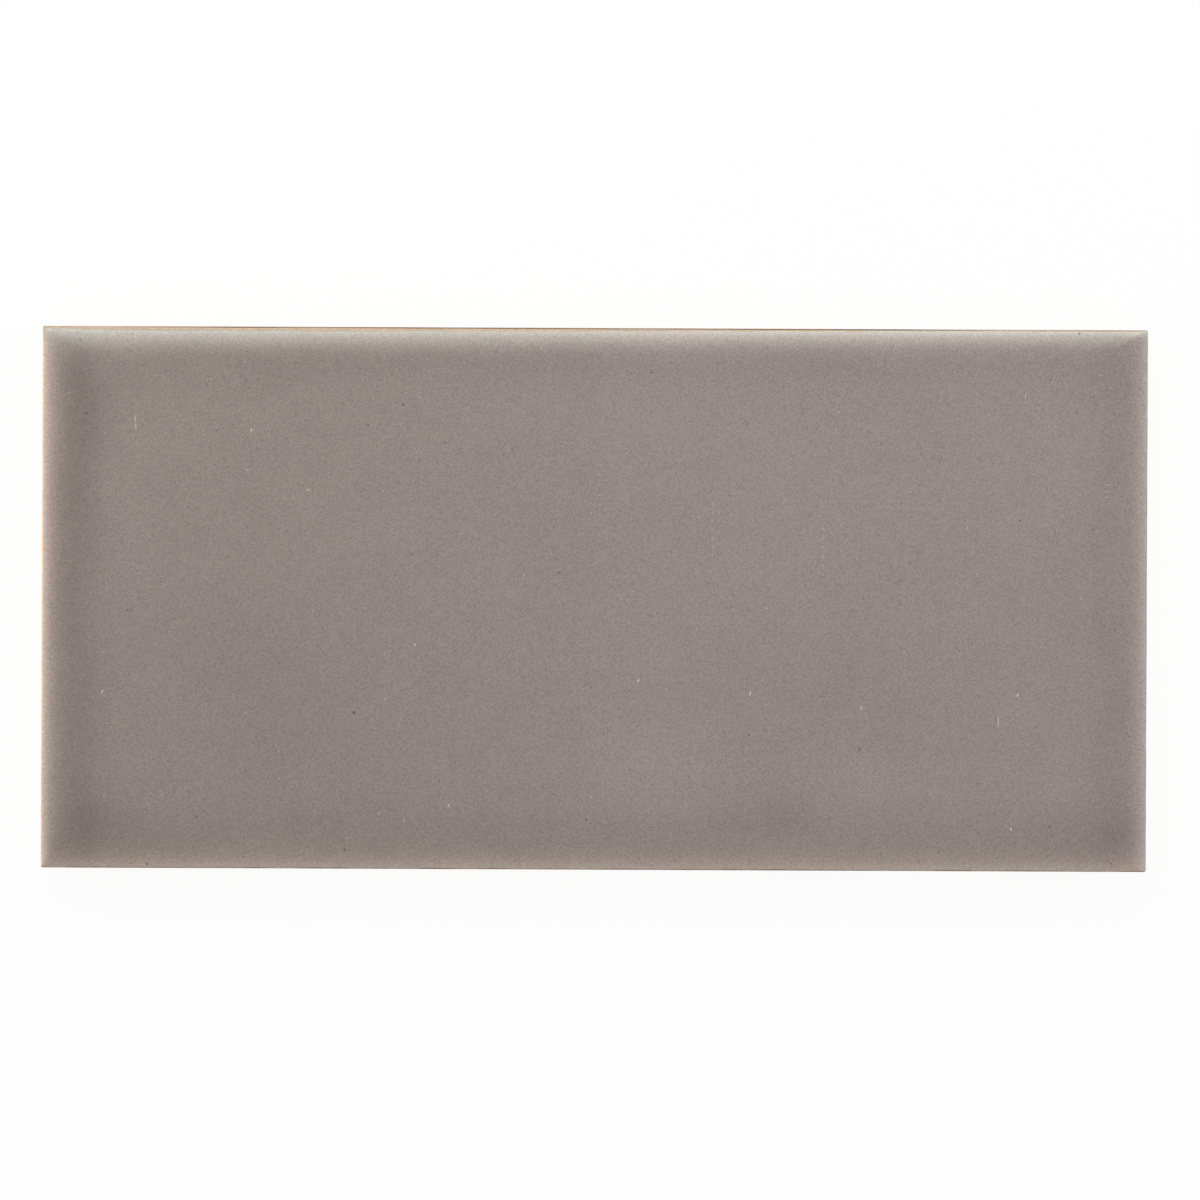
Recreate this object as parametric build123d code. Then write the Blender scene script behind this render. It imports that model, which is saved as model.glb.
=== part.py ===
from build123d import *
import math
import os

# Glazed ceramic field tile, dust-pressed as one piece and laid face up.
# The origin is the middle of the back. X runs along the tile, Y across it, Z up to the face.
# Lengths are millimetres. The angles given here are degrees, and those worked out are radians.

# Outline, a nominal 6 by 3 inch tile less 2.5 mm for the joint
tile_length = 149.9
tile_width = 73.7
tile_thickness = 8.0

# Walls, wider at the back than at the face so that the pressing leaves its die
wall_draft = 2.0
back_bevel = 0.5
corner_radius = 0.25  # plan corners at the top of the walls

# Edge of the face: a small arris off the wall, then a wide cushion in to the flat
arris_radius = 0.5
cushion_width = 4.4
cushion_drop = 1.0
corner_softening = 0.8  # plan radius gained for each millimetre in from the wall
band_sections = 6

# Keying lattice on the back, shallow pockets that the adhesive fills
pocket_columns = 8
pocket_rows = 4
pocket_depth = 0.7
pocket_radius = 1.8
pocket_draft = 35.0
lattice_rib = 2.2
lattice_border = 5.0

# Edge section, worked out from the sizes above: where its arcs start is how far the normal is above level
draft_angle = math.radians(wall_draft)
cushion_slope = 2 * math.atan(cushion_drop / cushion_width)
cushion_radius = cushion_width / math.sin(cushion_slope)
cushion_start = math.pi / 2 - cushion_slope
arris_reach = arris_radius * (math.cos(draft_angle) - math.cos(cushion_start))
arris_rise = arris_radius * (math.sin(cushion_start) - math.sin(draft_angle))

# Walls, worked out from what the edge of the face leaves of the thickness
wall_height = tile_thickness - cushion_drop - arris_rise - back_bevel
wall_inset = wall_height * math.tan(draft_angle)


def plan_corner(inset):
    """Plan radius of the corners: it follows the draft up the walls, then softens over the face."""
    past_wall = inset - wall_inset
    return corner_radius + (corner_softening * past_wall if past_wall > 0 else -past_wall)


def plan_outline(inset, height):
    """The tile's outline at a height, set in from its widest line."""
    outline = RectangleRounded(tile_length - 2 * inset, tile_width - 2 * inset, plan_corner(inset))
    return Plane.XY.offset(height) * outline


def pressed_body():
    """The block below the face's edge: a bevel round the back, then the drafted walls."""
    widest = plan_outline(0, back_bevel)
    back = RectangleRounded(tile_length - 2 * back_bevel, tile_width - 2 * back_bevel, plan_corner(0))
    bevel = loft([back, widest], ruled=True)
    walls = extrude(widest, amount=wall_height, taper=wall_draft)
    return bevel + walls


def rolled_band(inset, height, radius, start, end):
    """A band of the face's edge: outlines carried up an arc whose normal turns from start to end."""
    outlines = []
    for step in range(band_sections):
        normal = start + (end - start) * step / (band_sections - 1)
        inward = radius * (math.cos(start) - math.cos(normal))
        rise = radius * (math.sin(normal) - math.sin(start))
        outlines.append(plan_outline(inset + inward, height + rise))
    return loft(outlines)


def cushioned_face():
    """The arris and the cushion above the walls, closed by the flat of the face."""
    arris_foot = back_bevel + wall_height
    arris = rolled_band(wall_inset, arris_foot, arris_radius, draft_angle, cushion_start)
    cushion_inset = wall_inset + arris_reach
    cushion_foot = arris_foot + arris_rise
    cushion = rolled_band(cushion_inset, cushion_foot, cushion_radius, cushion_start, math.pi / 2)
    return arris + cushion


def lattice_pitch(overall, pockets):
    """(pocket size, pocket spacing) that fill one direction of the back inside its border."""
    clear = overall - 2 * lattice_border - (pockets - 1) * lattice_rib
    size = clear / pockets
    return size, size + lattice_rib


def keying_pockets():
    """The drafted pockets pressed into the back, column by column."""
    size_x, pitch_x = lattice_pitch(tile_length, pocket_columns)
    size_y, pitch_y = lattice_pitch(tile_width, pocket_rows)
    mouth = RectangleRounded(size_x, size_y, pocket_radius)
    pocket = extrude(mouth, amount=pocket_depth, taper=pocket_draft)
    return [place * pocket for place in GridLocations(pitch_x, pitch_y, pocket_columns, pocket_rows)]


def field_tile():
    """The whole tile, one fired piece."""
    return pressed_body() + cushioned_face() - keying_pockets()


os.makedirs("parts", exist_ok=True)
export_step(field_tile(), "parts/field_tile.step")
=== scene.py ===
import math

import bpy
import numpy as np
from bpy.props import FloatProperty, FloatVectorProperty, IntProperty, PointerProperty
from bpy.types import Operator, Panel, PropertyGroup
from mathutils import Euler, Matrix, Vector


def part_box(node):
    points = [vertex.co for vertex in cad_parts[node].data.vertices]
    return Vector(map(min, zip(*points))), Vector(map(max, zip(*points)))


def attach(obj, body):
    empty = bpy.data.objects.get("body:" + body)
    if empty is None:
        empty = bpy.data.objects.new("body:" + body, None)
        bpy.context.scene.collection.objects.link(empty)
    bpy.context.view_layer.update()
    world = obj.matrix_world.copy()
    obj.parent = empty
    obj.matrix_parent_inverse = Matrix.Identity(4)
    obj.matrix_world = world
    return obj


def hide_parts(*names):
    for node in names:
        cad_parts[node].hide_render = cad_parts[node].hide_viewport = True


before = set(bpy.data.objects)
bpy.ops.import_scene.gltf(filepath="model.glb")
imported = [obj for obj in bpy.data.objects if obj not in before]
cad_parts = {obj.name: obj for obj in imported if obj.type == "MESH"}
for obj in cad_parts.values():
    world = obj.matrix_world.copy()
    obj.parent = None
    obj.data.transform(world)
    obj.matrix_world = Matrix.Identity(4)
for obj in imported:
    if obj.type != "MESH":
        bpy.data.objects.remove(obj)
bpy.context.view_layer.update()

bl_info = {
    "name": "Glazed field tile",
    "version": (1, 0, 0),
    "blender": (4, 5, 0),
    "location": "View3D > Sidebar > Tile",
    "description": "Makes a pressed and glazed field tile on its packed frame, and a plain studio round it",
    "category": "Object",
}

MM = 0.001
NODE = "field_tile"
NODE_LOW, NODE_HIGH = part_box(NODE)
LENGTH, WIDTH, THICKNESS = NODE_HIGH - NODE_LOW

# Marks in the glaze, as places on the face in millimetres from its middle
# Dark specks of iron: (x, y, radius)
SPECKS = (
    (-32.4, -15.5, 0.2),
    (-4.8, 3.5, 0.15),
    (7.6, 30.6, 0.15),
    (-25.9, 26.1, 0.14),
    (-33.6, -34.0, 0.16),
    (-24.7, 5.9, 0.12),
    (-51.1, 22.5, 0.12),
    (57.4, 10.8, 0.13),
    (-63.0, -1.8, 0.11),
    (-1.0, -29.8, 0.12),
    (-49.0, -8.1, 0.11),
    (-34.8, -13.1, 0.1),
    (-11.1, 20.1, 0.11),
    (-68.6, 24.8, 0.14),
    (-67.4, 22.8, 0.11),
    (-69.1, 21.1, 0.1),
    (-68.3, 14.9, 0.1),
    (65.4, 36.1, 0.13),
    (-12.3, 19.5, 0.10),
    (-20.3, 21.1, 0.11),
    (-30.6, 23.3, 0.12),
    (-35.6, 22.0, 0.10),
    (20.9, -18.3, 0.13),
    (35.9, -20.2, 0.13),
    (61.4, 29.8, 0.11),
    (73.6, 28.7, 0.12),
    (61.6, -30.5, 0.14),
    (71.4, -31.8, 0.11),
    (-69.5, 34.7, 0.12),
    (-66.0, 34.9, 0.11),
    (-62.6, 35.5, 0.10),
    (-60.3, -36.1, 0.14),
    (-53.6, -29.6, 0.13),
)
# Pale flecks and fibres: lean in degrees, strength, then (x, y, half length, half width) of each
FLECKS = (
    (73, 0.8, (
        (6.0, -11.0, 0.26, 0.10),
        (21.1, -12.7, 0.30, 0.11),
        (36.1, -14.6, 0.30, 0.10),
        (57.2, -12.8, 0.24, 0.10),
        (-46.4, 22.6, 0.26, 0.10),
        (-66.4, -12.8, 0.30, 0.10),
    )),
    (90, 0.5, (
        (-62.1, 24.1, 0.55, 0.09),
        (-62.0, 23.0, 0.40, 0.09),
        (50.3, 9.8, 0.32, 0.08),
        (54.6, -16.3, 0.70, 0.10),
        (58.1, 27.6, 0.32, 0.08),
        (-25.6, -30.0, 0.26, 0.09),
    )),
    (115, 0.8, (
        (56.4, -30.9, 0.26, 0.10),
        (-19.5, -28.0, 0.28, 0.08),
        (-24.2, -6.3, 0.18, 0.10),
    )),
    (115, 0.3, (
        (-63.3, 32.6, 0.36, 0.06),
        (-7.3, 33.7, 0.30, 0.06),
        (68.4, -35.8, 0.50, 0.07),
    )),
    (60, 0.3, (
        (-62.6, 32.6, 0.32, 0.06),
        (-6.8, 33.6, 0.26, 0.06),
        (60.4, -26.0, 0.30, 0.06),
    )),
    (8, 0.5, (
        (-73.8, 36.1, 0.36, 0.10),
        (69.2, 15.7, 0.24, 0.06),
        (69.1, 14.8, 0.28, 0.06),
        (69.2, 14.0, 0.22, 0.06),
        (-47.0, 17.2, 0.18, 0.10),
        (-29.0, -29.1, 0.18, 0.10),
        (-38.7, 14.6, 0.26, 0.12),
        (60.0, 26.9, 0.11, 0.11),
        (68.3, 30.5, 0.11, 0.11),
        (69.6, 28.8, 0.11, 0.11),
        (61.8, -24.8, 0.11, 0.11),
        (55.7, -30.4, 0.10, 0.10),
        (-58.2, -26.7, 0.10, 0.10),
    )),
)
# Columns of faint pale dots: (x, lowest y, highest y, dots, radius)
DOTTED = (
    (0.7, 8.7, 18.1, 8, 0.1),
    (15.9, 6.0, 12.8, 7, 0.11),
    (30.9, 3.4, 10.8, 7, 0.11),
)
# Soft patches where the glaze lies deeper, above 0, or thinner: (x, y, half length, half width, depth)
PATCHES = (
    (23.7, -27.8, 7.0, 4.5, 0.24),
    (7.5, -19.8, 9.0, 4.5, -0.14),
    (36.0, -25.1, 6.0, 4.0, -0.12),
    (32.0, -23.8, 42.0, 5.5, -0.10),
    (-66.0, 27.0, 5.0, 4.5, 0.18),
    (-65.0, 33.0, 6.0, 3.0, -0.16),
    (-66.5, -31.5, 6.0, 4.5, 0.22),
    (69.5, -31.5, 5.0, 4.5, 0.20),
    (69.0, 29.0, 5.0, 5.0, 0.08),
    (7.5, -27.0, 9.0, 3.5, -0.12),
    (62.0, -34.0, 14.0, 3.0, 0.15),
    (-71.5, 23.0, 4.0, 16.0, 0.28),
    (-72.0, -35.5, 3.0, 2.5, 0.30),
)
# Strengths of the placed marks, and how much longer than wide the faint dots are
SPECK_STRENGTH = 0.85
DOT_STRENGTH = 0.38
DOT_STRETCH = 1.4
# Where marks fade out, as shares of their radius
SPECK_FADE = (0.7, 1.4)
FLECK_FADE = (0.5, 1.3)
# Marks scattered at random: (strength, spacing, radius, rarity)
SCATTERED_SPECKS = (0.55, 2.6, 0.13, 0.5)
SCATTERED_FLECKS = (0.6, 4.7, 0.10, 0.75)

# Lumps in the depth of the glaze: (size in millimetres, strength)
LUMPS = (
    (34, 0.10),
    (6, 0.06),
    (1.3, 0.06),
)
# Painted shade: how much darker the glaze is painted, as if deeper, for each millimetre down and to the left
PAINTED_SHADE_DOWN = 0.0022
PAINTED_SHADE_LEFT = 0.0004
# Drift of the pooled bands: size of its lumps and how far it goes, in millimetres
DRIFT_SIZE = 16
DRIFT = 1.4

# Stretches of the face over which the finish changes, in millimetres from its middle
THIN_PICKS_UP = (-75.5, -70)
STAIN_DIES_AWAY = (33.5, 36.5)
COOL_LIGHT_GAINS = (-50, 20)
LEFT_LINE_STARTS = (-31.5, -31.0)
LEFT_LINE_ENDS = (34.6, 35.0)
TOP_LINE_WIDENS = (-82, -58)
TOP_LINE_NARROWS = (-25, 70)
SEAM_ENDS = (-40, 0)
PALE_AT_LEFT = (-66, -56)
PALE_AT_RIGHT = (42, 60)
DARK_STRETCH_STARTS = (30.8, 32.2)
DARK_STRETCH_ENDS = (42.5, 44.5)
# Distances in from the widest line over which the finish changes, in millimetres
RIM_START = 0.2
LIT_FADE = (0.4, 0.8)
RIM_SHADE_FADE = (0.33, 0.45)
DARK_STRETCH_FADE = (0.26, 0.38)
TOP_FADE = (0.5, 1.0)

# Thin rim, which is thin glaze and along the top and the right also a painted highlight: what its fade at the
# top loses for each millimetre to the right, and its share at the left end
FADE_LOSS = 0.0022
THIN_AT_CORNER = 0.45
# What the warm rim loses at the top, and the faint painted cool light over the right part of the face
STAIN_LOSS = 0.5
COOL_LIGHT_CAST = 0.05
# Bare line, in millimetres: what it gains along the top, how far it strays, its lumps' size and its blur
TOP_LINE_GAIN = 0.34
LINE_STRAY = 0.07
LINE_LUMPS = 5
LINE_BLUR = 0.06
# Seam along the bare line at the top left: its place past the line, its half width and its strength
SEAM_PLACE = 0.02
SEAM_WIDTH = 0.07
SEAM_STRENGTH = 0.35
# Painted shade on the outer line of the bare rim: its strength, its clouds and their size, and what it loses
# at the ends of the top
RIM_SHADE_STRENGTH = 0.95
RIM_SHADE_CLOUDS = 0.35
RIM_SHADE_CLOUD_SIZE = 11
PALE_LEFT_LOSS = 0.8
PALE_RIGHT_LOSS = 0.6

# Fired body: strengths of its grain and clouds, and their sizes in millimetres
CLAY_GRAIN = 0.16
CLAY_GRAIN_SIZE = 0.5
CLAY_CLOUDS = 0.10
CLAY_CLOUD_SIZE = 9
# Haze of glaze on the walls: its strength, the heights it climbs over, how far it strays and its lumps' size
HAZE_STRENGTH = 0.5
HAZE_CLIMB = (5.2, 7.0)
HAZE_STRAY = 1.2
HAZE_LUMPS = 6
# Fine relief in millimetres and the size of its lumps: pits in the body and the skin of the glaze
PIT_DEPTH = 0.02
PIT_SIZE = 0.6
SKIN_HEIGHT = 0.0018
SKIN_SIZE = 2.4
# Size of the cells of the glaze's grain, in millimetres
GRAIN_SIZE = 0.13
# Roughness of the glaze and the body, and what grain, thin glaze, bare rim and haze add or take away
GLAZE_ROUGHNESS = 0.14
GRAIN_ROUGHNESS = 0.03
THIN_ROUGHNESS = 0.12
BARE_ROUGHNESS = 0.6
BISCUIT_ROUGHNESS = 0.86
HAZE_SMOOTHING = 0.35
# Index of refraction of the glaze and the body
REFRACTION = 1.5

# Waves of the ripple in the glaze: (length along x, length along y, phase) in metres and radians
RIPPLES = (
    (0.061, 0.083, 0.6),
    (0.037, -0.052, 2.1),
    (0.094, 0.029, 4.0),
)
# Steps of the tile's mesh, and the angle past which its edges stay crisp
WALL_RINGS = 9
ARRIS_STEPS = 9
CUSHION_STEPS = 17
POCKET_STEPS = 6
BORDER_STEPS = 4
CORNER_STEPS = 7
CRISP_ANGLE = math.radians(28)

# Lamps: (name, place and size in metres, the setting with its power, whether it shows in the gloss)
LAMPS = (
    ("key_lamp", (-0.15, 0.33, 0.30), (1.2, 0.66), "key_power", True),
    ("side_lamp", (0.46, 0.04, 0.20), (0.5, 0.42), "side_power", False),
    ("low_lamp", (-0.50, 0.0, 0.12), (0.5, 0.2), "low_power", False),
)
# A lamp runs from 0 to 1 both ways, and an endless half size leaves one way out of its fade
LAMP_MIDDLE = 0.5
ENDLESS = 1000
LAMP_ENDS_FADE = (0.4, 1)
# Camera's sensor in millimetres, the share of the floor that keeps the shadow, and the studio's colours
SENSOR_WIDTH = 36
FLOOR_SHADOW = 0.06
FLOOR_COLOUR = (0.9, 0.9, 0.9, 1)
WHITE = (1, 1, 1, 1)


def screen(red, green, blue):
    """A colour given as it shows on a screen, 0 to 255, turned into the linear light that shaders take."""
    shares = np.array((red, green, blue)) / 255
    linear = np.where(shares <= 0.04045, shares / 12.92, ((shares + 0.055) / 1.055) ** 2.4)
    return tuple(linear.tolist())


def length_prop(name, description, millimetres):
    """A length that a user may change, given in millimetres and kept in metres."""
    return FloatProperty(
        name=name, description=description, default=millimetres * MM, unit="LENGTH", precision=5
    )


def colour_prop(name, description, *rgb):
    """A colour that a user may change, given as it shows on a screen."""
    return FloatVectorProperty(
        name=name, description=description, default=screen(*rgb), subtype="COLOR", size=3, min=0, max=1
    )


def side_prop(name, description, *shares):
    """One value for each side of the face: left, right, bottom and top."""
    return FloatVectorProperty(name=name, description=description, default=shares, size=4)


class TileShape(PropertyGroup):
    """Sizes of the pressed tile, beyond those of its box."""

    wall_draft: FloatProperty(
        name="Wall draft",
        description="Lean of the walls, which are wider at the back",
        default=math.radians(2),
        unit="ROTATION",
    )
    back_bevel: length_prop("Back bevel", "Bevel round the back", 0.5)
    corner_radius: length_prop("Corner radius", "Plan radius of the corners at the top of the walls", 0.25)
    corner_softening: FloatProperty(
        name="Corner softening",
        description="Plan radius that the corners gain for each unit in from the walls",
        default=0.8,
    )
    arris_radius: length_prop("Arris radius", "Roll from the walls to the cushion", 0.5)
    cushion_width: length_prop("Cushion width", "Width of the rolled band round the face", 4.4)
    cushion_drop: length_prop("Cushion drop", "How far the rolled band falls away", 1.0)
    pocket_columns: IntProperty(name="Pocket columns", description="Keying pockets along the back", default=8)
    pocket_rows: IntProperty(name="Pocket rows", description="Keying pockets across the back", default=4)
    pocket_depth: length_prop("Pocket depth", "Depth of the keying pockets", 0.7)
    pocket_radius: length_prop("Pocket radius", "Corner radius at the pockets' mouths", 1.8)
    pocket_draft: FloatProperty(
        name="Pocket draft",
        description="Lean of the pockets' sides",
        default=math.radians(35),
        unit="ROTATION",
    )
    lattice_rib: length_prop("Lattice rib", "Width of the ribs between pockets", 2.2)
    lattice_border: length_prop("Lattice border", "Width of the border round the pockets", 5.0)
    bead_height: length_prop("Bead height", "How far glaze that pools to a depth of 1 stands up", 0.045)
    ripple_height: length_prop("Ripple height", "Height of the slow ripple in the glaze", 0.012)


class TileFinish(PropertyGroup):
    """Colours of the glaze and the fired body, where the glaze is thin, pooled or missing, and the painted
    highlight, cool reflection, cool light and shade.
    """

    glaze_light: colour_prop("Light glaze", "Glaze where it lies thinner than usual", 160, 148, 141)
    glaze_deep: colour_prop("Deep glaze", "Glaze where it lies deeper than usual", 109, 96, 90)
    # Thin glaze also paints the highlight of the thin rim along the top and the right; on the walls it is a
    # haze of glaze
    glaze_thin: colour_prop("Thin glaze", "Milky glaze where it has drawn back from the rim", 212, 212, 196)
    glaze_stained: colour_prop("Stained glaze", "Thin glaze that the body has warmed", 238, 211, 192)
    # Painted light: colour of the painted cool reflection along the right rim and of the painted cool light
    # over the right part of the face
    painted_cool_light: colour_prop("Painted cool light", "Painted cool reflection and cool light towards the right", 202, 188, 190)
    biscuit: colour_prop("Biscuit", "Bare fired body", 188, 168, 144)
    # Painted shade: the bare body as it shows in shade along the outer line of the rim
    biscuit_shade: colour_prop("Shaded biscuit", "Outer line of the rim, painted shade", 116, 82, 52)
    # Painted highlight: the bare body lighter and warmer, as lit from the left
    biscuit_lit: colour_prop("Lit biscuit", "Bare line at the left, a painted highlight", 244, 192, 134)
    biscuit_dark_stretch: colour_prop("Dark stretch", "Short dark stretch of the top rim", 84, 62, 44)
    speck: colour_prop("Speck", "Iron specks in the glaze", 82, 74, 68)
    fleck: colour_prop("Fleck", "Pale flecks and fibres in the glaze", 205, 200, 190)
    pool: side_prop("Pool", "Depth of the pooled band along each side", 0.40, 0.22, 0.23, 0.18)
    pool_inset: length_prop("Pool inset", "How far in the pooled band lies", 5.0)
    pool_width: length_prop("Pool width", "Half width of the pooled band", 3.2)
    # The thin rim is thin glaze and, along the top and the right, a painted highlight
    thin: side_prop("Thin", "Strength of the thin rim along each side", 0.0, 0.16, 0.14, 0.85)
    thin_fade: side_prop(
        "Thin fade", "Millimetres over which the thin rim fades, by side", 1.0, 1.4, 1.6, 0.84
    )
    stain: side_prop("Stain", "Strength of the warm rim along each side", 0.74, 0.0, 0.48, 0.0)
    stain_fade: side_prop(
        "Stain fade", "Millimetres over which the warm rim fades, by side", 0.80, 1.0, 1.25, 1.0
    )
    # The cool rim is a painted cool reflection along the right side
    cool: side_prop("Cool", "Strength of the cool rim along each side", 0.0, 0.35, 0.0, 0.0)
    cool_fade: side_prop(
        "Cool fade", "Millimetres over which the cool rim fades, by side", 1.0, 1.45, 1.0, 1.0
    )
    bare_line: side_prop(
        "Bare line", "Millimetres of bare rim from the widest line, by side", 0.33, 0.27, 0.31, 0.43
    )
    grain: FloatProperty(name="Grain", description="Strength of the glaze's fine grain", default=0.37)


class TileStudio(PropertyGroup):
    """Camera, lamps and floor."""

    view_width: length_prop("View width", "Width of what the camera takes in at the face", 162.0)
    view_height: length_prop("View height", "Height of the camera above the floor", 700)
    view_x: length_prop("View x", "Where the camera stands along the tile", 0.77)
    view_y: length_prop("View y", "Where the camera stands across the tile", -0.15)
    view_roll: FloatProperty(
        name="View roll",
        description="Turn of the camera about its line of sight",
        default=math.radians(0.24),
        unit="ROTATION",
    )
    key_power: FloatProperty(
        name="Key power", description="Watts of the lamp beyond the top edge", default=6.7
    )
    side_power: FloatProperty(name="Side power", description="Watts of the lamp at the right", default=2.3)
    low_power: FloatProperty(name="Low power", description="Watts of the low lamp at the left", default=1.6)
    ambient: FloatProperty(name="Ambient", description="Light from all round", default=0.4)
    floor_size: length_prop("Floor size", "Side of the floor", 6000)


class Signal:
    """A node's output as a number in a formula: each operator adds one Math node to the recipe."""

    def __init__(self, recipe, socket):
        self.recipe = recipe
        self.socket = socket

    def math(self, operation, *values):
        return self.recipe.add("Math", {"operation": operation}, dict(enumerate(values)))

    def __add__(self, other):
        return self.math("ADD", self, other)

    def __sub__(self, other):
        return self.math("SUBTRACT", self, other)

    def __rsub__(self, other):
        return self.math("SUBTRACT", other, self)

    def __mul__(self, other):
        return self.math("MULTIPLY", self, other)

    def __truediv__(self, other):
        return self.math("DIVIDE", self, other)

    def __pow__(self, other):
        return self.math("POWER", self, other)

    def __neg__(self):
        return self.math("MULTIPLY", self, -1)

    __radd__ = __add__
    __rmul__ = __mul__

    def exp(self):
        return self.math("EXPONENT", self)

    def least(self, other):
        return self.math("MINIMUM", self, other)

    def most(self, other):
        return self.math("MAXIMUM", self, other)

    def rise(self, low, high):
        """0 below low, 1 above high, and a smooth climb between them."""
        sockets = {"Value": self, "From Min": low, "From Max": high}
        return self.recipe.add("MapRange", {"interpolation_type": "SMOOTHSTEP"}, sockets)

    def bell(self, middle, width):
        """1 at the middle, falling off on both sides as a bell of that half width."""
        return (-(((self - middle) / width) ** 2)).exp()


class Recipe:
    """The node tree of a material, world or lamp, filled by one method that adds any node."""

    def __init__(self, owner):
        owner.use_nodes = True
        self.tree = owner.node_tree
        self.tree.nodes.clear()

    def add(self, kind, settings=None, sockets=None, output=0):
        """Add a node: first its settings, then the value or link of each socket. Gives one of its outputs."""
        node = self.tree.nodes.new("ShaderNode" + kind)
        for name, value in (settings or {}).items():
            setattr(node, name, value)
        for key, value in (sockets or {}).items():
            if isinstance(value, Signal):
                self.tree.links.new(value.socket, node.inputs[key])
            else:
                node.inputs[key].default_value = value
        return Signal(self, node.outputs[output]) if len(node.outputs) else None

    def tint(self, factor, under, over):
        """One colour over another, by a factor."""
        colours = [(*c, 1) if isinstance(c, tuple) else c for c in (under, over)]
        return self.add("Mix", {"data_type": "RGBA"}, {0: factor, 6: colours[0], 7: colours[1]}, 2)

    def scale(self, vector, factor):
        """A vector or colour times a number."""
        return self.add("VectorMath", {"operation": "SCALE"}, {"Vector": vector, "Scale": factor})

    def noise(self, place, size, detail=1.0, dimensions="2D"):
        """Noise from about -1 to 1 whose lumps are about that size."""
        settings = {"normalize": False, "noise_dimensions": dimensions}
        return self.add("TexNoise", settings, {"Vector": place, "Scale": 1 / size, "Detail": detail})

    def reach(self, place, x, y, half_x, half_y):
        """How far a place is from an ellipse's middle, 1 on its rim: the length of the place less the
        middle, each way over the half size that way."""
        sockets = {0: place, 1: (1 / half_x, 1 / half_y, 0), 2: (-x / half_x, -y / half_y, 0)}
        local = self.add("VectorMath", {"operation": "MULTIPLY_ADD"}, sockets)
        return self.add("VectorMath", {"operation": "LENGTH"}, {0: local}, "Value")

    def nearest(self, place, ellipses, lean=0.0):
        """The reach to the nearest of some ellipses that lean alike. Each is taken in as soon as it is
        made, so that few values are held at once."""
        turn = math.radians(lean)
        cos, sin = math.cos(turn), math.sin(turn)
        if lean:
            place = self.add("VectorRotate", {"rotation_type": "Z_AXIS"}, {"Vector": place, "Angle": -turn})
        near = None
        for x, y, half_x, half_y in ellipses:
            reach = self.reach(place, x * cos + y * sin, y * cos - x * sin, half_x, half_y)
            near = reach if near is None else near.least(reach)
        return near


def edge_section(shape):
    """Section through the edge as insets from the widest line and heights, from the back to the flat.

    A straight bevel, a straight drafted wall, an arris arc and a cushion arc. Each arc starts where its
    surface leans as the last one does: a point of an arc lies at the radius times the cosine and sine of
    the angle that its normal stands above level."""
    slope = 2 * math.atan(shape.cushion_drop / shape.cushion_width)
    cushion_radius = shape.cushion_width / math.sin(slope)
    arris_angles = np.linspace(shape.wall_draft, math.pi / 2 - slope, ARRIS_STEPS)
    cushion_angles = np.linspace(math.pi / 2 - slope, math.pi / 2, CUSHION_STEPS)
    arris_in = shape.arris_radius * (np.cos(arris_angles[0]) - np.cos(arris_angles))
    arris_up = shape.arris_radius * (np.sin(arris_angles) - np.sin(arris_angles[0]))
    cushion_in = cushion_radius * (np.cos(cushion_angles[0]) - np.cos(cushion_angles))
    cushion_up = cushion_radius * (np.sin(cushion_angles) - np.sin(cushion_angles[0]))
    wall_top = THICKNESS - cushion_up[-1] - arris_up[-1]
    wall_up = np.linspace(shape.back_bevel, wall_top, WALL_RINGS)
    wall_in = (wall_up - shape.back_bevel) * math.tan(shape.wall_draft)
    insets = np.concatenate([
        [shape.back_bevel],
        wall_in,
        wall_in[-1] + arris_in[1:],
        wall_in[-1] + arris_in[-1] + cushion_in[1:],
    ])
    heights = np.concatenate([
        [0.0],
        wall_up,
        wall_top + arris_up[1:],
        wall_top + arris_up[-1] + cushion_up[1:],
    ])
    past_wall = insets - wall_in[-1]
    corners = shape.corner_radius + np.where(past_wall > 0, shape.corner_softening * past_wall, -past_wall)
    corners[0] = corners[1]
    return insets, heights, corners


def pocket_layout(shape, overall, pockets):
    """(pocket size, pocket middles) along one direction of the back."""
    clear = overall - 2 * shape.lattice_border - (pockets - 1) * shape.lattice_rib
    size = clear / pockets
    middles = (np.arange(pockets) - (pockets - 1) / 2) * (size + shape.lattice_rib)
    return size, middles


def side_lines(shape, overall, pockets, run):
    """(run position, turn) of each vertex along one side of an outline.

    The run position goes from -1 to 1 along the straight run, at the mouths, slopes and corners of the
    pockets, and the turn goes through half a corner's arc before the run and after it."""
    size, middles = pocket_layout(shape, overall, pockets)
    slope = shape.pocket_depth * math.tan(shape.pocket_draft)
    near_mouth = [0, slope / 2, slope, (slope + shape.pocket_radius) / 2, shape.pocket_radius]
    steps = np.concatenate([near_mouth, np.linspace(shape.pocket_radius, size / 2, POCKET_STEPS)[1:]])
    across = np.concatenate([steps - size / 2, (size / 2 - steps[:-1])[::-1]])
    lines = (middles[:, None] + across[None, :]).ravel()
    border = np.linspace(lines[-1], run, BORDER_STEPS)[1:]
    run_places = np.concatenate([-border[::-1], lines, border]) / run
    arc = np.linspace(0, math.pi / 4, CORNER_STEPS)[1:]
    places = np.concatenate([-np.ones(len(arc)), run_places, np.ones(len(arc))])
    turns = np.concatenate([-arc[::-1], np.zeros(len(run_places)), arc])
    return places, turns


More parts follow.
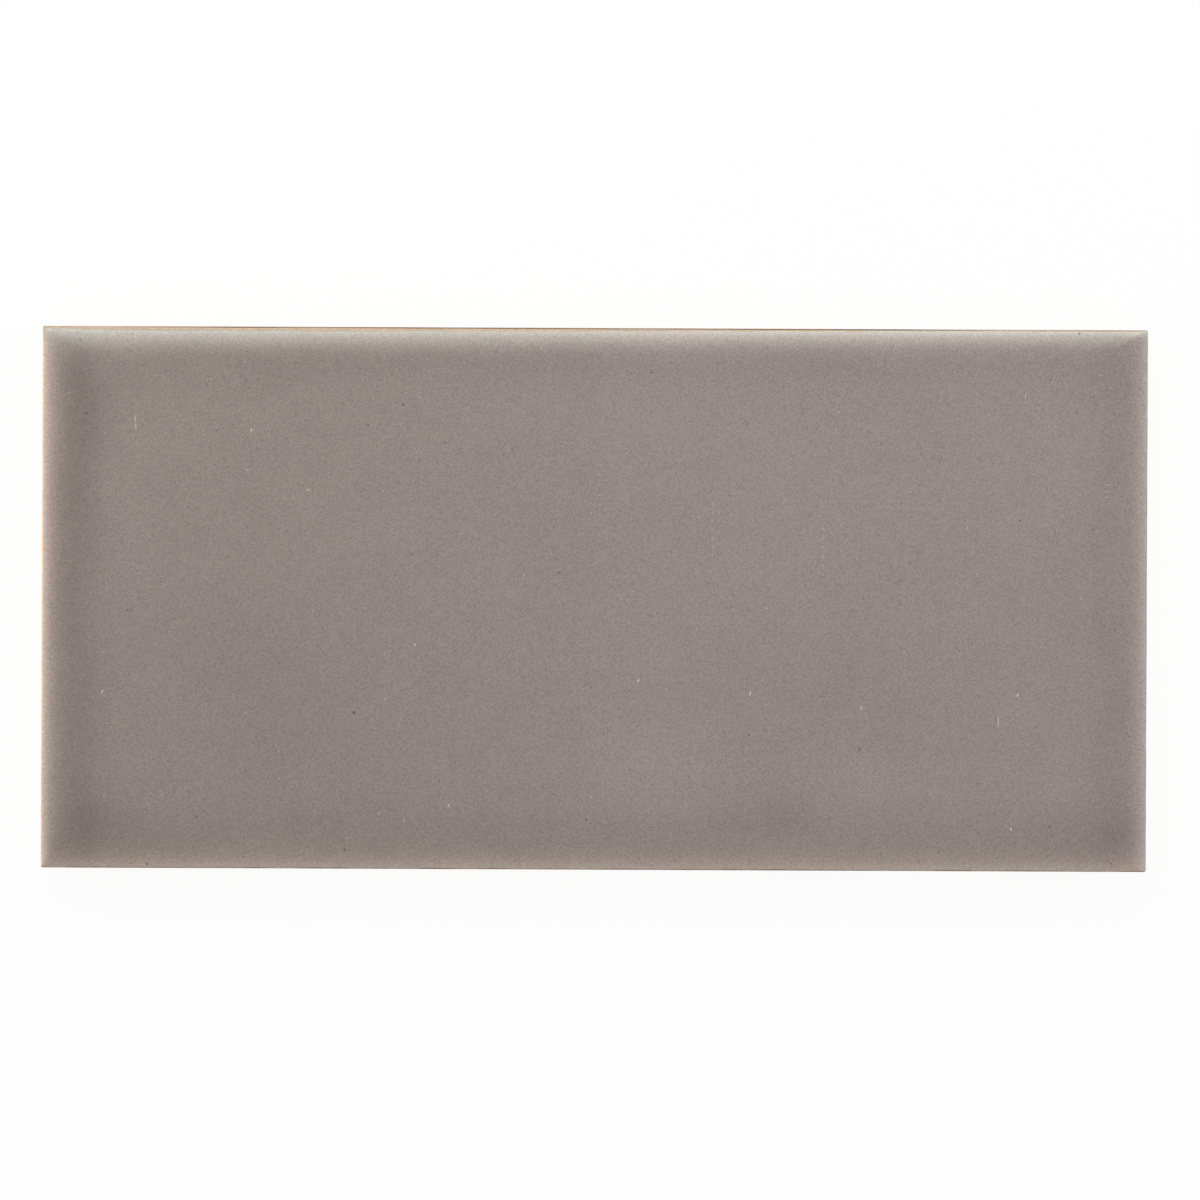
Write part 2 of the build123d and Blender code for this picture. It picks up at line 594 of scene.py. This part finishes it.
def outlines(insets, corners, along, across):
    """Nested rounded rectangles, one for each inset, as an array of outlines by vertices by x and y.

    On the side towards -Y a vertex lies at x = place * run + corner * sin(turn) and at a distance of
    reach + corner * cos(turn) from the middle line; the other sides are the same, turned."""
    a = (LENGTH / 2 - insets - corners)[:, None]
    b = (WIDTH / 2 - insets - corners)[:, None]
    r = corners[:, None]
    (place_a, turn_a), (place_b, turn_b) = along, across
    run_a = place_a[:-1] * a + r * np.sin(turn_a[:-1])
    out_b = b + r * np.cos(turn_a[:-1])
    run_b = place_b[:-1] * b + r * np.sin(turn_b[:-1])
    out_a = a + r * np.cos(turn_b[:-1])
    x = np.concatenate([run_a, out_a, -run_a, -out_a], axis=1)
    y = np.concatenate([-out_b, run_b, out_b, -run_b], axis=1)
    return np.stack([x, y], axis=-1)


def ring_sides(ring, nx, ny):
    """The four sides of a closed ring of vertices, each from low to high: south, east, north and west."""
    closed = np.concatenate([ring, ring[:1]])
    south = closed[: nx + 1]
    east = closed[nx : nx + ny + 1]
    north = closed[nx + ny : 2 * nx + ny + 1][::-1]
    west = closed[2 * nx + ny :][::-1]
    return south, east, north, west


def spanned(ring, nx, ny):
    """A sheet stretched over a ring: the blend of its opposite sides, both ways, less the blend of its
    corners."""
    south, east, north, west = ring_sides(ring, nx, ny)
    u = np.linspace(0, 1, nx + 1)[None, :, None]
    v = np.linspace(0, 1, ny + 1)[:, None, None]
    sides = (1 - v) * south[None] + v * north[None] + (1 - u) * west[:, None] + u * east[:, None]
    low = (1 - u) * south[0] + u * south[-1]
    high = (1 - u) * north[0] + u * north[-1]
    return sides - ((1 - v) * low + v * high)


def glaze_relief(shape, finish, plan):
    """Height of the glaze against the solid's face, never above it: a bell-shaped bead along each side, its
    crest where the glaze pools, and a slow ripple that is a sum of sine waves in unlike directions."""
    x, y = plan[..., 0], plan[..., 1]
    distances = (x + LENGTH / 2, LENGTH / 2 - x, y + WIDTH / 2, WIDTH / 2 - y)
    bells = [
        share * np.exp(-(((distance - finish.pool_inset) / finish.pool_width) ** 2))
        for share, distance in zip(finish.pool, distances)
    ]
    bead = np.clip(np.sum(bells, axis=0), 0, 1)
    waves = sum(
        np.sin(2 * math.pi * (x / along + y / across) + phase)
        for along, across, phase in RIPPLES
    ) / len(RIPPLES)
    return shape.bead_height * (bead - 1) + shape.ripple_height * (waves - 1)


def pocket_heights(shape, plan):
    """Height of the back above its bed: inside each pocket's rounded outline it climbs to the floor.

    The distance in from a rounded rectangle is its radius less the length of what lies past the arcs'
    middles, or less the larger of the two when neither does."""
    slope = shape.pocket_depth * math.tan(shape.pocket_draft)
    size_x, middles_x = pocket_layout(shape, LENGTH, shape.pocket_columns)
    size_y, middles_y = pocket_layout(shape, WIDTH, shape.pocket_rows)
    off_x = np.abs(plan[..., 0, None] - middles_x).min(axis=-1)
    off_y = np.abs(plan[..., 1, None] - middles_y).min(axis=-1)
    past_x = off_x - size_x / 2 + shape.pocket_radius
    past_y = off_y - size_y / 2 + shape.pocket_radius
    past_arc = np.hypot(np.maximum(past_x, 0), np.maximum(past_y, 0))
    inward = shape.pocket_radius - past_arc - np.minimum(np.maximum(past_x, past_y), 0)
    return shape.pocket_depth * np.clip(inward / slope, 0, 1)


def grid_faces(ids):
    """Four-sided faces of a grid of vertex numbers, rows by columns."""
    corners = (ids[:-1, :-1], ids[:-1, 1:], ids[1:, 1:], ids[1:, :-1])
    return np.stack(corners, axis=-1).reshape(-1, 4)


def sheet_ids(ring, first, nx, ny):
    """Vertex numbers of a sheet whose rim is a ring that exists and whose inside starts at a number."""
    ids = np.empty((ny + 1, nx + 1), int)
    ids[1:-1, 1:-1] = first + np.arange((nx - 1) * (ny - 1)).reshape(ny - 1, nx - 1)
    ids[0], ids[:, -1], ids[-1], ids[:, 0] = ring_sides(ring, nx, ny)
    return ids


def tile_surface(shape, finish):
    """Vertices, glazed faces and unglazed faces of the whole tile: the edge section carried round nested
    outlines, with the face and the back as sheets stretched over its last and first ring."""
    insets, heights, corners = edge_section(shape)
    run_x = LENGTH / 2 - insets[0] - corners[0]
    run_y = WIDTH / 2 - insets[0] - corners[0]
    along = side_lines(shape, LENGTH, shape.pocket_columns, run_x)
    across = side_lines(shape, WIDTH, shape.pocket_rows, run_y)
    nx, ny = len(along[0]) - 1, len(across[0]) - 1

    rings = outlines(insets, corners, along, across)
    share = np.clip((insets - insets.max()) / shape.cushion_width + 1, 0, 1)[:, None]
    share = share * share * (3 - 2 * share)
    ring_heights = heights[:, None] + share * glaze_relief(shape, finish, rings)
    band = np.concatenate([rings, ring_heights[..., None]], axis=-1)

    face_plan = spanned(rings[-1], nx, ny)[1:-1, 1:-1]
    face_heights = THICKNESS + glaze_relief(shape, finish, face_plan)
    face = np.concatenate([face_plan, face_heights[..., None]], axis=-1)
    back_plan = spanned(rings[0], nx, ny)[1:-1, 1:-1]
    back = np.concatenate([back_plan, pocket_heights(shape, back_plan)[..., None]], axis=-1)

    count, around = band.shape[:2]
    band_ids = np.arange(count * around).reshape(count, around)
    face_ids = sheet_ids(band_ids[-1], band_ids.size, nx, ny)
    back_ids = sheet_ids(band_ids[0], band_ids.size + face[..., 0].size, nx, ny)
    closed_ids = np.concatenate([band_ids, band_ids[:, :1]], axis=1)
    walls = grid_faces(closed_ids[: WALL_RINGS + 1])
    rolls = grid_faces(closed_ids[WALL_RINGS:])
    glazed = np.concatenate([rolls, grid_faces(face_ids)])
    unglazed = np.concatenate([walls, grid_faces(back_ids)[:, ::-1]])
    points = np.concatenate([band.reshape(-1, 3), face.reshape(-1, 3), back.reshape(-1, 3)])
    return points + np.array((0, 0, NODE_LOW.z)), glazed, unglazed


def mesh_object(name, points, faces, sharp_angle):
    """A smooth-shaded mesh object from arrays, with edges sharper than an angle kept crisp."""
    mesh = bpy.data.meshes.new(name)
    mesh.vertices.add(len(points))
    mesh.vertices.foreach_set("co", points.astype(np.float32).ravel())
    mesh.loops.add(faces.size)
    mesh.loops.foreach_set("vertex_index", faces.astype(np.int32).ravel())
    mesh.polygons.add(len(faces))
    mesh.polygons.foreach_set("loop_start", np.arange(0, faces.size, faces.shape[1], dtype=np.int32))
    mesh.update(calc_edges=True)
    mesh.validate()
    mesh.polygons.foreach_set("use_smooth", np.ones(len(mesh.polygons), bool))
    mesh.set_sharp_from_angle(angle=sharp_angle)
    made = bpy.data.objects.new(name, mesh)
    bpy.context.scene.collection.objects.link(made)
    return made


def side_distances(x, y):
    """Distances in from the left, right, bottom and top widest lines, in millimetres."""
    half_length, half_width = LENGTH / MM / 2, WIDTH / MM / 2
    return x + half_length, half_length - x, y + half_width, half_width - y


def strongest(signals):
    """The largest of several signals."""
    top = signals[0]
    for signal in signals[1:]:
        top = top.most(signal)
    return top


def overlaid(shares):
    """Several coverings from 0 to 1 laid over each other: what each leaves bare, multiplied, taken from 1."""
    left = 1 - shares[0]
    for share in shares[1:]:
        left = left * (1 - share)
    return 1 - left


def rim_cover(strengths, fades, distances):
    """Cover of the rims, each falling off as an exponential with the distance in from its side."""
    return strongest([
        strength * ((RIM_START - distance) / fade).least(0).exp()
        for strength, fade, distance in zip(strengths, fades, distances)
        if strength
    ])


def cell_chance(recipe, place, spacing):
    """A random number from 0 to 1 for each cell of a random net with that spacing."""
    sockets = {"Vector": place, "Scale": 1 / spacing}
    pick = recipe.add("TexVoronoi", {"voronoi_dimensions": "2D"}, sockets, "Color")
    return recipe.add("SeparateColor", None, {"Color": pick})


def scatter(recipe, place, strength, spacing, radius, rarity):
    """Tiny round marks at the middles of some cells of a random net, the more rare the fewer and fainter."""
    sockets = {"Vector": place, "Scale": 1 / spacing}
    distance = recipe.add("TexVoronoi", {"voronoi_dimensions": "2D"}, sockets)
    core, rim = (share * radius / spacing for share in FLECK_FADE)
    mark = 1 - distance.rise(core, rim)
    return strength * (mark * cell_chance(recipe, place, spacing).rise(rarity, 1))


def glaze_marks(recipe, place):
    """Masks of the dark specks and of the pale flecks, each as strong as its marks."""
    near = recipe.nearest(place, [(x, y, radius, radius) for x, y, radius in SPECKS])
    specks = SPECK_STRENGTH * (1 - near.rise(*SPECK_FADE))
    specks = specks.most(scatter(recipe, place, *SCATTERED_SPECKS))
    dots = recipe.nearest(place, [
        (x, y, radius, DOT_STRETCH * radius)
        for x, low, high, count, radius in DOTTED
        for y in np.linspace(low, high, count).tolist()
    ])
    flecks = DOT_STRENGTH * (1 - dots.rise(*FLECK_FADE))
    for lean, strength, group in FLECKS:
        near = recipe.nearest(place, group, lean)
        flecks = flecks.most(strength * (1 - near.rise(*FLECK_FADE)))
    return specks, flecks.most(scatter(recipe, place, *SCATTERED_FLECKS))


def clay_tone(recipe, place):
    """Brightness of the fired body: fine grain over slow clouds."""
    grain = CLAY_GRAIN * recipe.noise(place, CLAY_GRAIN_SIZE, 2, "3D")
    return 1 + grain + CLAY_CLOUDS * recipe.noise(place, CLAY_CLOUD_SIZE, 1, "3D")


def new_material(name):
    """A material, its recipe, and the places on its piece in millimetres."""
    material = bpy.data.materials.new(name)
    recipe = Recipe(material)
    place = recipe.scale(recipe.add("TexCoord", output="Object"), 1 / MM)
    return material, recipe, place


def finish_surface(recipe, colour, roughness, relief):
    """Close a recipe with one shader, whose normal follows a fine relief in millimetres."""
    normal = recipe.add("Bump", None, {"Strength": 1.0, "Distance": MM, "Height": relief})
    sockets = {"Base Color": colour, "Roughness": roughness, "IOR": REFRACTION, "Normal": normal}
    recipe.add("OutputMaterial", None, {"Surface": recipe.add("BsdfPrincipled", None, sockets)})


def glaze_depth(recipe, finish, place, x, y, distances):
    """Depth of the glaze, 0 where it is as usual: a bell along each side where it pools, lumps of noise, a
    slow slope over the face that is painted shade, darker towards the bottom and the left, and soft patches
    that are bells too."""
    drift = DRIFT * recipe.noise(place, DRIFT_SIZE)
    pools = [
        share * (distance + drift).bell(finish.pool_inset / MM, finish.pool_width / MM)
        for share, distance in zip(finish.pool, distances)
    ]
    depth = overlaid(pools)
    for size, strength in LUMPS:
        depth = depth + strength * recipe.noise(place, size)
    # Painted shade: the glaze is painted darker towards the bottom and the left
    depth = depth - PAINTED_SHADE_DOWN * y - PAINTED_SHADE_LEFT * x
    for middle_x, middle_y, half_x, half_y, deeper in PATCHES:
        reach = recipe.reach(place, middle_x, middle_y, half_x, half_y)
        depth = depth + deeper * reach.bell(0, 1)
    return depth


def rim_covers(finish, x, y, distances):
    """Covers of the thin, the warm and the cool rims. The thin rim is thin glaze, and along the top and the
    right also a painted highlight; the cool cover is a painted cool reflection along the right rim and
    painted cool light over the right part of the face. The thin rim is weak at the left end and, at the top,
    fades faster towards the right, and the warm left rim loses strength at the top."""
    left_fade, right_fade, bottom_fade, top_fade = finish.thin_fade
    thin_fades = (left_fade, right_fade, bottom_fade, top_fade - FADE_LOSS * x)
    past_corner = THIN_AT_CORNER + (1 - THIN_AT_CORNER) * x.rise(*THIN_PICKS_UP)
    thin = rim_cover(finish.thin, thin_fades, distances) * past_corner
    below_top = 1 - STAIN_LOSS * y.rise(*STAIN_DIES_AWAY)
    stain = rim_cover(finish.stain, finish.stain_fade, distances) * below_top
    # Painted cool reflection along the right rim, and painted cool light over the right part of the face
    cool = rim_cover(finish.cool, finish.cool_fade, distances).most(COOL_LIGHT_CAST * x.rise(*COOL_LIGHT_GAINS))
    return thin, stain, cool


def bare_rim(recipe, finish, place, x, distances, left_run):
    """Masks of the bare rim outside the glaze's ragged line, and of the seam along that line at the top
    left."""
    stray = LINE_STRAY * recipe.noise(place, LINE_LUMPS, 3)
    left, right, bottom, top = finish.bare_line
    top_line = top + TOP_LINE_GAIN * x.rise(*TOP_LINE_WIDENS) * (1 - x.rise(*TOP_LINE_NARROWS))
    lines = (left * left_run, right, bottom, top_line)
    past_line = [distance - line + stray for line, distance in zip(lines, distances)]
    inset = past_line[0].least(past_line[1]).least(past_line[2]).least(past_line[3])
    bare = 1 - inset.rise(-LINE_BLUR, LINE_BLUR)
    seam = past_line[3].bell(SEAM_PLACE, SEAM_WIDTH) * (1 - x.rise(*SEAM_ENDS))
    return bare, seam


def bare_body(recipe, finish, place, x, distances, left_run):
    """Colour of the bare rim: buff, with painted shade along its outer line, less so at the ends of the top,
    and a painted highlight at the left, lighter and warmer as lit from there."""
    outer = distances[1].least(distances[2]).least(distances[3])
    pale_ends = PALE_LEFT_LOSS * (1 - x.rise(*PALE_AT_LEFT)) + PALE_RIGHT_LOSS * x.rise(*PALE_AT_RIGHT)
    near_top = 1 - distances[3].rise(*TOP_FADE)
    clouds = RIM_SHADE_STRENGTH + RIM_SHADE_CLOUDS * recipe.noise(place, RIM_SHADE_CLOUD_SIZE)
    # Painted shade along the outer line of the right, bottom and top
    shaded = (1 - outer.rise(*RIM_SHADE_FADE)) * clouds * (1 - near_top * pale_ends)
    body = recipe.tint(shaded, tuple(finish.biscuit), tuple(finish.biscuit_shade))
    # Painted highlight: the bare line at the left, lighter and warmer as lit from the left
    lit_left = left_run * (1 - distances[0].rise(*LIT_FADE))
    body = recipe.tint(1 - lit_left, tuple(finish.biscuit_lit), body)
    return recipe.scale(body, clay_tone(recipe, place))


def glaze_material(finish):
    """Gloss glaze over a buff body: thin at the rim, pooled a little way in, and bare past the glaze line.

    The glaze takes its colour from its depth, painted darker towards the bottom and the left as shade, then
    come the rims, which paint a highlight along the top and the right and a cool reflection and cool light
    towards the right, the grain, the marks, the bare body with its painted shade and painted lit line at the
    left, and last the seam and the dark stretch on it."""
    material, recipe, place = new_material("glaze")
    x = recipe.add("SeparateXYZ", None, {"Vector": place}, "X")
    y = recipe.add("SeparateXYZ", None, {"Vector": place}, "Y")
    distances = side_distances(x, y)
    left_run = y.rise(*LEFT_LINE_STARTS) * (1 - y.rise(*LEFT_LINE_ENDS))
    depth = glaze_depth(recipe, finish, place, x, y, distances)
    thin, stain, cool = rim_covers(finish, x, y, distances)
    bare, seam = bare_rim(recipe, finish, place, x, distances, left_run)
    specks, flecks = glaze_marks(recipe, place)
    grain = cell_chance(recipe, place, GRAIN_SIZE) - 0.5

    colour = recipe.tint(0.5 + 0.5 * depth, tuple(finish.glaze_light), tuple(finish.glaze_deep))
    # Painted cool reflection and painted cool light
    colour = recipe.tint(cool, colour, tuple(finish.painted_cool_light))
    # Thin glaze, which along the top and the right is also a painted highlight
    colour = recipe.tint(thin, colour, tuple(finish.glaze_thin))
    colour = recipe.tint(stain, colour, tuple(finish.glaze_stained))
    colour = recipe.scale(colour, 1 + finish.grain * grain)
    colour = recipe.tint(specks, colour, tuple(finish.speck))
    colour = recipe.tint(flecks, colour, tuple(finish.fleck))
    colour = recipe.tint(bare, colour, bare_body(recipe, finish, place, x, distances, left_run))
    # The seam is tinted towards the colour of the painted shade
    colour = recipe.tint(SEAM_STRENGTH * seam, colour, tuple(finish.biscuit_shade))
    # A short darker stretch of the outer line at the top
    dark_run = x.rise(*DARK_STRETCH_STARTS) * (1 - x.rise(*DARK_STRETCH_ENDS))
    dark_stretch = dark_run * (1 - distances[3].rise(*DARK_STRETCH_FADE))
    colour = recipe.tint(dark_stretch, colour, tuple(finish.biscuit_dark_stretch))

    skin = SKIN_HEIGHT * recipe.noise(place, SKIN_SIZE)
    roughness = GLAZE_ROUGHNESS + GRAIN_ROUGHNESS * grain + THIN_ROUGHNESS * thin
    roughness = roughness + THIN_ROUGHNESS * stain + BARE_ROUGHNESS * bare
    finish_surface(recipe, colour, roughness, skin)
    return material


def biscuit_material(finish):
    """Matt buff body of the walls and back: grain and clouds, with a ragged haze of glaze at the top of the
    walls."""
    material, recipe, place = new_material("biscuit")
    z = recipe.add("SeparateXYZ", None, {"Vector": place}, "Z")
    stray = HAZE_STRAY * recipe.noise(place, HAZE_LUMPS, 2, "3D")
    haze = HAZE_STRENGTH * (z + stray).rise(*HAZE_CLIMB)
    colour = recipe.scale(tuple(finish.biscuit), clay_tone(recipe, place))
    colour = recipe.tint(haze, colour, tuple(finish.glaze_thin))
    pits = PIT_DEPTH * recipe.noise(place, PIT_SIZE, 2, "3D")
    finish_surface(recipe, colour, BISCUIT_ROUGHNESS - HAZE_SMOOTHING * haze, pits)
    return material


def seen_directly(recipe):
    """1 for rays that show the background itself, in the camera or in a gloss or glass surface."""
    kinds = ("Camera", "Glossy", "Transmission")
    return strongest([recipe.add("LightPath", None, None, f"Is {kind} Ray") for kind in kinds])


def floor_white():
    """Pale floor that shows as plain white, less a share that keeps the shadow."""
    material = bpy.data.materials.new("studio_floor")
    recipe = Recipe(material)
    matt = recipe.add("BsdfDiffuse", None, {"Color": FLOOR_COLOUR})
    bright = recipe.add("Emission", None, {"Color": WHITE, "Strength": 1.0})
    factor = seen_directly(recipe) * (1 - FLOOR_SHADOW)
    surface = recipe.add("MixShader", None, {0: factor, 1: matt, 2: bright})
    recipe.add("OutputMaterial", None, {"Surface": surface})
    return material


def studio_floor(size, bevel):
    """A square floor, open under the tile so that its back can be seen from below.

    The opening's edge lies under the overhang of the back's bevel, out of sight from above."""
    signs = np.array([(-1, -1), (1, -1), (1, 1), (-1, 1)])
    outer = signs * size / 2
    inner = signs * (np.array((LENGTH, WIDTH)) - bevel) / 2
    plan = np.concatenate([outer, inner])
    points = np.concatenate([plan, np.zeros((len(plan), 1))], axis=1)
    start = np.arange(len(signs))
    end = np.roll(start, -1)
    faces = np.stack([start, end, end + len(signs), start + len(signs)], axis=1)
    floor = mesh_object("studio_floor", points, faces, math.pi)
    floor.data.materials.append(floor_white())


def studio_world(ambient):
    """White all round to look at, and an even grey light."""
    world = bpy.data.worlds.new("studio")
    recipe = Recipe(world)
    strength = ambient + (1 - ambient) * seen_directly(recipe)
    background = recipe.add("Background", None, {"Color": WHITE, "Strength": strength})
    recipe.add("OutputWorld", None, {"Surface": background})
    bpy.context.scene.world = world


def softbox(name, place, size, watts, mirrored):
    """A lamp that faces the tile, brightest along its middle and fading to its rim, unseen by the camera.

    A lamp that isn't mirrored lights the tile but doesn't show in its gloss."""
    data = bpy.data.lights.new(name, "AREA")
    data.energy = watts
    data.shape = "RECTANGLE"
    data.size, data.size_y = size
    recipe = Recipe(data)
    across = recipe.add("NewGeometry", None, None, "Parametric")
    from_ends = recipe.reach(across, LAMP_MIDDLE, LAMP_MIDDLE, LAMP_MIDDLE, ENDLESS)
    from_sides = recipe.reach(across, LAMP_MIDDLE, LAMP_MIDDLE, ENDLESS, LAMP_MIDDLE)
    fade = (1 - from_ends.rise(*LAMP_ENDS_FADE)) * (1 - from_sides.rise(0, 1))
    light = recipe.add("Emission", None, {"Color": WHITE, "Strength": fade})
    recipe.add("OutputLight", None, {"Surface": light})
    lamp = bpy.data.objects.new(name, data)
    lamp.location = place
    lamp.rotation_euler = (-Vector(place)).to_track_quat("-Z", "Y").to_euler()
    lamp.visible_camera = False
    lamp.visible_glossy = mirrored
    bpy.context.scene.collection.objects.link(lamp)


def studio_camera(studio):
    """A camera straight above the tile, with a lens that takes in the view's width at the face."""
    data = bpy.data.cameras.new("studio_camera")
    data.sensor_width = SENSOR_WIDTH
    data.lens = data.sensor_width * (studio.view_height - THICKNESS) / studio.view_width
    camera = bpy.data.objects.new("studio_camera", data)
    camera.location = (studio.view_x, studio.view_y, studio.view_height)
    camera.rotation_euler = Euler((0, 0, studio.view_roll))
    bpy.context.scene.collection.objects.link(camera)
    bpy.context.scene.camera = camera


class FIELDTILE_OT_tile(Operator):
    """Make the tile: its face, walls and keyed back as one closed surface with its glaze"""

    bl_idname = "fieldtile.tile"
    bl_label = "Make the tile"

    def execute(self, context):
        scene = context.scene
        points, glazed, unglazed = tile_surface(scene.tile_shape, scene.tile_finish)
        tile = mesh_object("glazed_tile", points, np.concatenate([glazed, unglazed]), CRISP_ANGLE)
        tile.data.materials.append(glaze_material(scene.tile_finish))
        tile.data.materials.append(biscuit_material(scene.tile_finish))
        finish_of_face = np.repeat((0, 1), (len(glazed), len(unglazed)))
        tile.data.polygons.foreach_set("material_index", finish_of_face.astype(np.int32))
        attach(tile, "root")
        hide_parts(NODE)
        return {"FINISHED"}


class FIELDTILE_OT_studio(Operator):
    """Set the studio: a white floor, three soft lamps, even light all round and the camera"""

    bl_idname = "fieldtile.studio"
    bl_label = "Set the studio"

    def execute(self, context):
        studio = context.scene.tile_studio
        studio_floor(studio.floor_size, context.scene.tile_shape.back_bevel)
        studio_world(studio.ambient)
        for name, place, size, power, mirrored in LAMPS:
            softbox(name, place, size, getattr(studio, power), mirrored)
        studio_camera(studio)
        context.scene.view_settings.view_transform = "Standard"
        return {"FINISHED"}


class FIELDTILE_PT_sidebar(Panel):
    """Sizes, finish and studio of the tile"""

    bl_label = "Field tile"
    bl_idname = "FIELDTILE_PT_sidebar"
    bl_space_type = "VIEW_3D"
    bl_region_type = "UI"
    bl_category = "Tile"

    def draw(self, context):
        layout = self.layout
        for group, operator in (
            ("tile_shape", None),
            ("tile_finish", FIELDTILE_OT_tile),
            ("tile_studio", FIELDTILE_OT_studio),
        ):
            box = layout.box()
            values = getattr(context.scene, group)
            for name in values.bl_rna.properties.keys():
                if name not in ("rna_type", "name"):
                    box.prop(values, name)
            if operator:
                box.operator(operator.bl_idname)


CLASSES = (TileShape, TileFinish, TileStudio, FIELDTILE_OT_tile, FIELDTILE_OT_studio, FIELDTILE_PT_sidebar)


def register():
    for cls in CLASSES:
        bpy.utils.register_class(cls)
    bpy.types.Scene.tile_shape = PointerProperty(type=TileShape)
    bpy.types.Scene.tile_finish = PointerProperty(type=TileFinish)
    bpy.types.Scene.tile_studio = PointerProperty(type=TileStudio)


def unregister():
    del bpy.types.Scene.tile_studio
    del bpy.types.Scene.tile_finish
    del bpy.types.Scene.tile_shape
    for cls in reversed(CLASSES):
        bpy.utils.unregister_class(cls)


def main():
    register()
    bpy.ops.fieldtile.tile()
    bpy.ops.fieldtile.studio()


if __name__ == "__main__":
    main()
